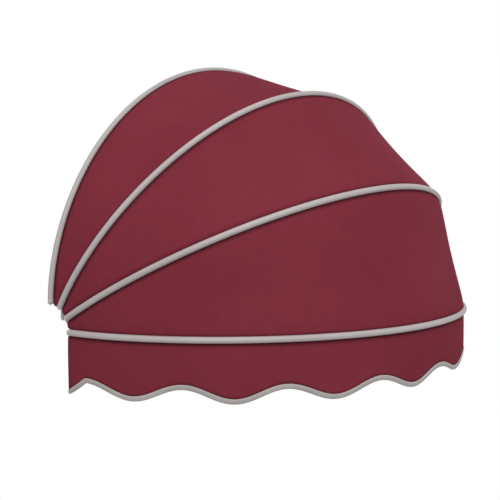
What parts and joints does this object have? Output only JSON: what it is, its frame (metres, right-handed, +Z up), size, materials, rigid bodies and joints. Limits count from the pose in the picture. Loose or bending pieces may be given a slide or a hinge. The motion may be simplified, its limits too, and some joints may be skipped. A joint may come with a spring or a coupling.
{
  "type": "window awning",
  "caption": "Folding dome awning for a window: half-round hoops on hinged wall brackets, cloth stretched between them and a wavy valance along the front.",
  "frame": {"origin": "on the wall plane, midway between the hinges, at the height of their pivot bolts", "axes": "+X across the window, +Y into the wall with the open front towards -Y, +Z up"},
  "size_m": [1.6174, 0.8404, 1.0042],
  "materials": {
    "hoop_aluminium": "satin grey coating",
    "awning_cloth": "matt woven acrylic",
    "welt_cord": "matt",
    "binding_tape": "matt woven tape",
    "hinge_casting": "satin grey coating",
    "fastener_steel": "bright zinc"
  },
  "bodies": {
    "wall_frame": {"hoop_rear": "hoop_aluminium", "panel_upper": "awning_cloth", "panel_upper_top_welt": "welt_cord", "crown_clip": "hinge_casting", "left_wall_bracket": "hinge_casting", "left_pivot_bolt": "fastener_steel", "left_pivot_nut": "fastener_steel", "left_rear_end_screw": "fastener_steel", "left_upper_washer": "fastener_steel", "left_lower_washer": "fastener_steel", "left_front_washer": "fastener_steel", "right_wall_bracket": "hinge_casting", "right_pivot_bolt": "fastener_steel", "right_pivot_nut": "fastener_steel", "right_rear_end_screw": "fastener_steel", "right_upper_washer": "fastener_steel", "right_lower_washer": "fastener_steel", "right_front_washer": "fastener_steel"},
    "upper_hoop": {"hoop_upper": "hoop_aluminium", "panel_upper_bottom_welt": "welt_cord", "panel_middle": "awning_cloth", "panel_middle_top_welt": "welt_cord", "left_upper_leaf": "hinge_casting", "left_upper_end_screw": "fastener_steel", "right_upper_leaf": "hinge_casting", "right_upper_end_screw": "fastener_steel"},
    "lower_hoop": {"hoop_lower": "hoop_aluminium", "panel_middle_bottom_welt": "welt_cord", "panel_lower": "awning_cloth", "panel_lower_top_welt": "welt_cord", "left_lower_leaf": "hinge_casting", "left_lower_end_screw": "fastener_steel", "right_lower_leaf": "hinge_casting", "right_lower_end_screw": "fastener_steel"},
    "front_hoop": {"hoop_front": "hoop_aluminium", "panel_lower_bottom_welt": "welt_cord", "valance": "awning_cloth", "valance_welt": "welt_cord", "valance_binding": "binding_tape", "left_front_leaf": "hinge_casting", "left_front_end_screw": "fastener_steel", "right_front_leaf": "hinge_casting", "right_front_end_screw": "fastener_steel"}
  },
  "joints": [
    {"name": "front_hoop_fold", "type": "hinge", "parent": "wall_frame", "child": "front_hoop", "pos_m": [0, -0.04986, 0], "axis": [-1, 0, 0], "range_deg": [0, 88], "deforming": ["panel_lower", "valance", "valance_binding"]},
    {"name": "lower_hoop_fold", "type": "hinge", "parent": "wall_frame", "child": "lower_hoop", "pos_m": [0, -0.04986, 0], "axis": [-1, 0, 0], "range_deg": [0, 59], "deforming": ["panel_middle"]},
    {"name": "upper_hoop_fold", "type": "hinge", "parent": "wall_frame", "child": "upper_hoop", "pos_m": [0, -0.04986, 0], "axis": [-1, 0, 0], "range_deg": [0, 30], "deforming": ["panel_upper"]}
  ],
  "couplings": [
    {"joint": "lower_hoop_fold", "follows": "front_hoop_fold", "ratio": 0.66667},
    {"joint": "upper_hoop_fold", "follows": "front_hoop_fold", "ratio": 0.33333}
  ]
}
